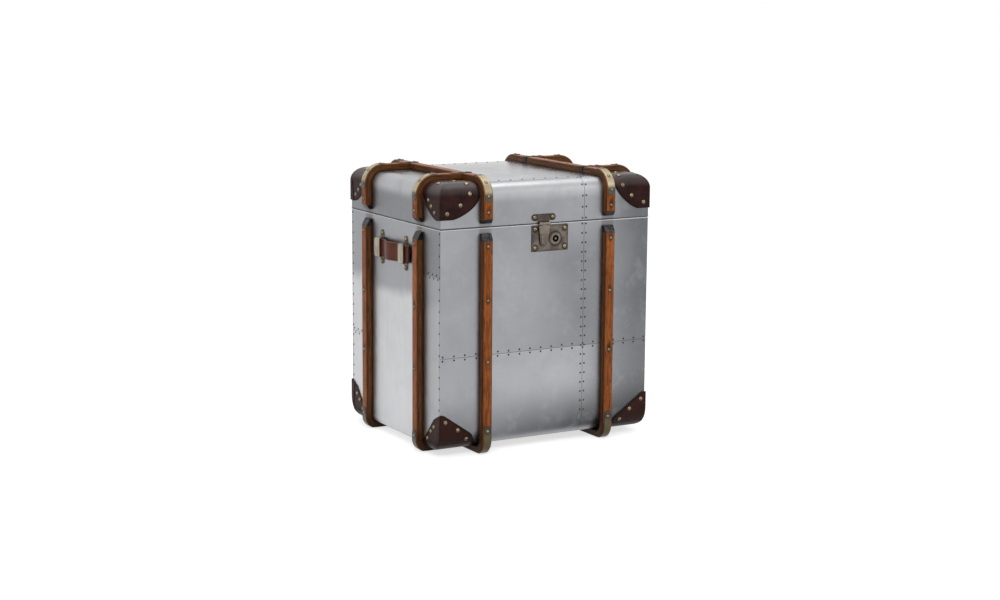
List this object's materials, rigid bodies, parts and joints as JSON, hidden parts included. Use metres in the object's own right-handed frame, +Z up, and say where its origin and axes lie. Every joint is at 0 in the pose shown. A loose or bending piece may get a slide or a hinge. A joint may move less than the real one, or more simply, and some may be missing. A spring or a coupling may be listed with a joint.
{
  "type": "metal-clad trunk side table",
  "caption": "Metal-clad trunk used as a side table: hinged rounded lid, bent wooden slats, brass guards, leather corners, hasp lock and leather side handles.",
  "frame": {"origin": "centre of the footprint on the floor, under the slats", "axes": "+Z up, -Y out of the front that carries the lock, +X to the right of someone facing the front"},
  "size_m": [0.58, 0.4804, 0.6252],
  "materials": {
    "aluminium_sheet": "satin aged sheet",
    "slat_wood": "satin stained hardwood",
    "carcass_wood": "plain plywood",
    "lining_cloth": "matt cloth",
    "dark_cap": "dark bronze",
    "guard_brass": "antique brass",
    "corner_leather": "aged dark leather",
    "dome_nail": "antique brass",
    "lock_bronze": "aged bronze",
    "plug_brass": "worn brass",
    "bracket_brass": "pale brass",
    "strap_leather": "aged leather",
    "hinge_steel": "satin steel"
  },
  "bodies": {
    "case": {"back_sheets": "aluminium_sheet", "case_back_wall": "carcass_wood", "case_base_board": "carcass_wood", "case_base_rails": "carcass_wood", "case_bend_guards": "guard_brass", "case_fitting_nails": "dome_nail", "case_front_wall": "carcass_wood", "case_leather_corners": "corner_leather", "case_leather_nails": "dome_nail", "case_left_wall": "carcass_wood", "case_lining": "lining_cloth", "case_right_wall": "carcass_wood", "case_slat_caps": "dark_cap", "case_slat_left": "slat_wood", "case_slat_nails": "dome_nail", "case_slat_right": "slat_wood", "foot_slat_front": "slat_wood", "foot_slat_rear": "slat_wood", "front_sheet_lower_left": "aluminium_sheet", "front_sheet_lower_right": "aluminium_sheet", "front_sheet_upper_left": "aluminium_sheet", "front_sheet_upper_right": "aluminium_sheet", "handle_brackets_left": "bracket_brass", "handle_brackets_right": "bracket_brass", "hinge_case_leaves": "lock_bronze", "hinge_pins": "hinge_steel", "left_side_sheets": "aluminium_sheet", "lock_case": "hinge_steel", "lock_plate": "lock_bronze", "right_side_sheets": "aluminium_sheet"},
    "lid": {"hasp_plate": "lock_bronze", "hinge_lid_leaves": "lock_bronze", "lid_back_sheet": "aluminium_sheet", "lid_back_shoulder": "carcass_wood", "lid_bend_guards": "guard_brass", "lid_front_sheet_left": "aluminium_sheet", "lid_front_sheet_right": "aluminium_sheet", "lid_front_shoulder": "carcass_wood", "lid_leather_corners": "corner_leather", "lid_leather_nails": "dome_nail", "lid_left_sheet": "aluminium_sheet", "lid_left_shoulder": "carcass_wood", "lid_right_sheet": "aluminium_sheet", "lid_right_shoulder": "carcass_wood", "lid_side_slat_left_front": "slat_wood", "lid_side_slat_left_rear": "slat_wood", "lid_side_slat_right_front": "slat_wood", "lid_side_slat_right_rear": "slat_wood", "lid_slat_caps": "dark_cap", "lid_slat_left": "slat_wood", "lid_slat_nails": "dome_nail", "lid_slat_right": "slat_wood", "lid_tee_clips": "dark_cap", "lid_top_board": "carcass_wood", "lid_top_sheet": "aluminium_sheet"},
    "hasp": {"hasp": "lock_bronze"},
    "lock_plug": {"lock_plug": "plug_brass"},
    "lock_bolt": {"lock_bolt": "hinge_steel"},
    "handle_strap_left": {"handle_strap_left": "strap_leather"},
    "handle_strap_right": {"handle_strap_right": "strap_leather"}
  },
  "joints": [
    {"name": "lid_hinge", "type": "hinge", "parent": "case", "child": "lid", "pos_m": [0, 0.2263, 0.51], "axis": [-1, 0, 0], "range_deg": [0, 100]},
    {"name": "hasp_hinge", "type": "hinge", "parent": "lid", "child": "hasp", "pos_m": [-0.0102, -0.2269, 0.511], "axis": [-1, 0, 0], "range_deg": [0, 150]},
    {"name": "lock_turn", "type": "hinge", "parent": "case", "child": "lock_plug", "pos_m": [0.0199, -0.222, 0.4752], "axis": [0, -1, 0], "range_deg": [0, 90]},
    {"name": "lock_bolt_slide", "type": "slide", "parent": "case", "child": "lock_bolt", "axis": [-1, 0, 0], "range_m": [0, 0.008]},
    {"name": "handle_left_slide", "type": "slide", "parent": "case", "child": "handle_strap_left", "axis": [0, 1, 0], "range_m": [-0.005, 0.005]},
    {"name": "handle_right_slide", "type": "slide", "parent": "case", "child": "handle_strap_right", "axis": [0, 1, 0], "range_m": [-0.005, 0.005]}
  ],
  "couplings": [
    {"joint": "lock_bolt_slide", "follows": "lock_turn", "m_per_rad": 0.0050929}
  ]
}
